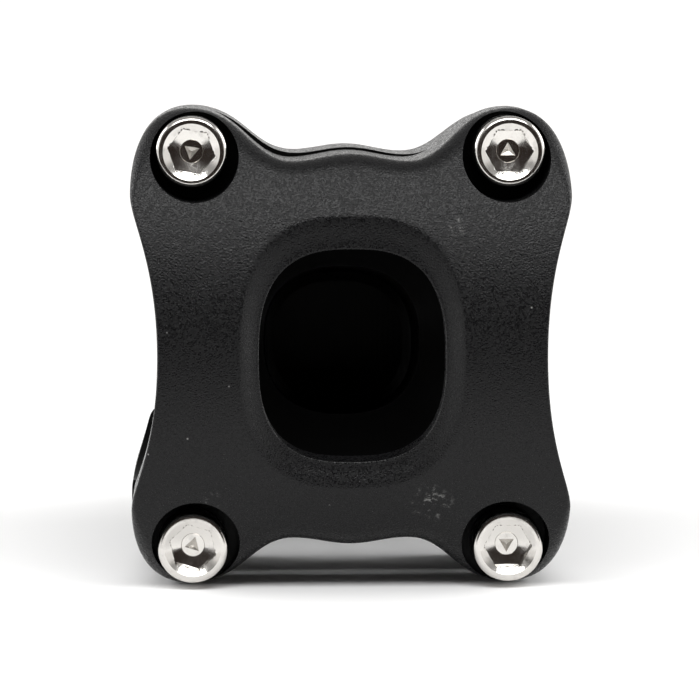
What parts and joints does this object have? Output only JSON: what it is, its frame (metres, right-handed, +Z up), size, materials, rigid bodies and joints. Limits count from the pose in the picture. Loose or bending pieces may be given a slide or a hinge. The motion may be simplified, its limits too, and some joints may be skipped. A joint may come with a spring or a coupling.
{
  "type": "bicycle handlebar stem",
  "caption": "Threadless bicycle handlebar stem with a removable four-bolt windowed faceplate, a hollow extension and a split steerer clamp.",
  "frame": {"origin": "middle of the stem's base: the surface that its two lower clamp ears and the steerer clamp stand on", "axes": "+Z up along the steerer axis, +Y from the bar clamp towards the steerer clamp, X along the handlebar; the faceplate faces -Y"},
  "size_m": [0.0526, 0.0957, 0.0578],
  "materials": {
    "shot_peened_black": "shot-peened, black anodised, satin with fine sparkle",
    "polished_steel": "polished",
    "washer_steel": "dark, satin"
  },
  "bodies": {
    "stem_body": {"stem_body": "shot_peened_black"},
    "faceplate": {"faceplate": "shot_peened_black"},
    "faceplate_washer_upper_left": {"faceplate_washer_upper_left": "washer_steel"},
    "faceplate_bolt_upper_left": {"faceplate_bolt_upper_left": "polished_steel"},
    "faceplate_washer_lower_left": {"faceplate_washer_lower_left": "washer_steel"},
    "faceplate_bolt_lower_left": {"faceplate_bolt_lower_left": "polished_steel"},
    "faceplate_washer_upper_right": {"faceplate_washer_upper_right": "washer_steel"},
    "faceplate_bolt_upper_right": {"faceplate_bolt_upper_right": "polished_steel"},
    "faceplate_washer_lower_right": {"faceplate_washer_lower_right": "washer_steel"},
    "faceplate_bolt_lower_right": {"faceplate_bolt_lower_right": "polished_steel"},
    "steerer_washer_upper": {"steerer_washer_upper": "washer_steel"},
    "steerer_bolt_upper": {"steerer_bolt_upper": "polished_steel"},
    "steerer_washer_lower": {"steerer_washer_lower": "washer_steel"},
    "steerer_bolt_lower": {"steerer_bolt_lower": "polished_steel"}
  },
  "joints": [
    {"name": "faceplate_slide", "type": "slide", "parent": "stem_body", "child": "faceplate", "axis": [0, -1, 0], "range_m": [0, 0.02]},
    {"name": "upper_left_bolt_travel", "type": "slide", "parent": "faceplate", "child": "faceplate_washer_upper_left", "axis": [0, -1, 0], "range_m": [0, 0.008]},
    {"name": "upper_left_bolt_turn", "type": "hinge", "parent": "faceplate_washer_upper_left", "child": "faceplate_bolt_upper_left", "pos_m": [-0.019, -0.03485, 0.0527], "axis": [0, -1, 0], "range_deg": [0, 3601]},
    {"name": "lower_left_bolt_travel", "type": "slide", "parent": "faceplate", "child": "faceplate_washer_lower_left", "axis": [0, -1, 0], "range_m": [0, 0.008]},
    {"name": "lower_left_bolt_turn", "type": "hinge", "parent": "faceplate_washer_lower_left", "child": "faceplate_bolt_lower_left", "pos_m": [-0.019, -0.03485, 0.0051], "axis": [0, -1, 0], "range_deg": [0, 3601]},
    {"name": "upper_right_bolt_travel", "type": "slide", "parent": "faceplate", "child": "faceplate_washer_upper_right", "axis": [0, -1, 0], "range_m": [0, 0.008]},
    {"name": "upper_right_bolt_turn", "type": "hinge", "parent": "faceplate_washer_upper_right", "child": "faceplate_bolt_upper_right", "pos_m": [0.019, -0.03485, 0.0527], "axis": [0, -1, 0], "range_deg": [0, 3601]},
    {"name": "lower_right_bolt_travel", "type": "slide", "parent": "faceplate", "child": "faceplate_washer_lower_right", "axis": [0, -1, 0], "range_m": [0, 0.008]},
    {"name": "lower_right_bolt_turn", "type": "hinge", "parent": "faceplate_washer_lower_right", "child": "faceplate_bolt_lower_right", "pos_m": [0.019, -0.03485, 0.0051], "axis": [0, -1, 0], "range_deg": [0, 3601]},
    {"name": "upper_steerer_bolt_travel", "type": "slide", "parent": "stem_body", "child": "steerer_washer_upper", "axis": [1, 0, 0], "range_m": [0, 0.008]},
    {"name": "upper_steerer_bolt_turn", "type": "hinge", "parent": "steerer_washer_upper", "child": "steerer_bolt_upper", "pos_m": [0.008, 0.04245, 0.03], "axis": [1, 0, 0], "range_deg": [0, 3601]},
    {"name": "lower_steerer_bolt_travel", "type": "slide", "parent": "stem_body", "child": "steerer_washer_lower", "axis": [-1, 0, 0], "range_m": [0, 0.008]},
    {"name": "lower_steerer_bolt_turn", "type": "hinge", "parent": "steerer_washer_lower", "child": "steerer_bolt_lower", "pos_m": [-0.008, 0.04245, 0.01], "axis": [-1, 0, 0], "range_deg": [0, 3601]}
  ],
  "couplings": [
    {"joint": "upper_left_bolt_turn", "follows": "upper_left_bolt_travel", "rad_per_m": 7854},
    {"joint": "lower_left_bolt_turn", "follows": "lower_left_bolt_travel", "rad_per_m": 7854},
    {"joint": "upper_right_bolt_turn", "follows": "upper_right_bolt_travel", "rad_per_m": 7854},
    {"joint": "lower_right_bolt_turn", "follows": "lower_right_bolt_travel", "rad_per_m": 7854},
    {"joint": "upper_steerer_bolt_turn", "follows": "upper_steerer_bolt_travel", "rad_per_m": 7854},
    {"joint": "lower_steerer_bolt_turn", "follows": "lower_steerer_bolt_travel", "rad_per_m": 7854}
  ]
}
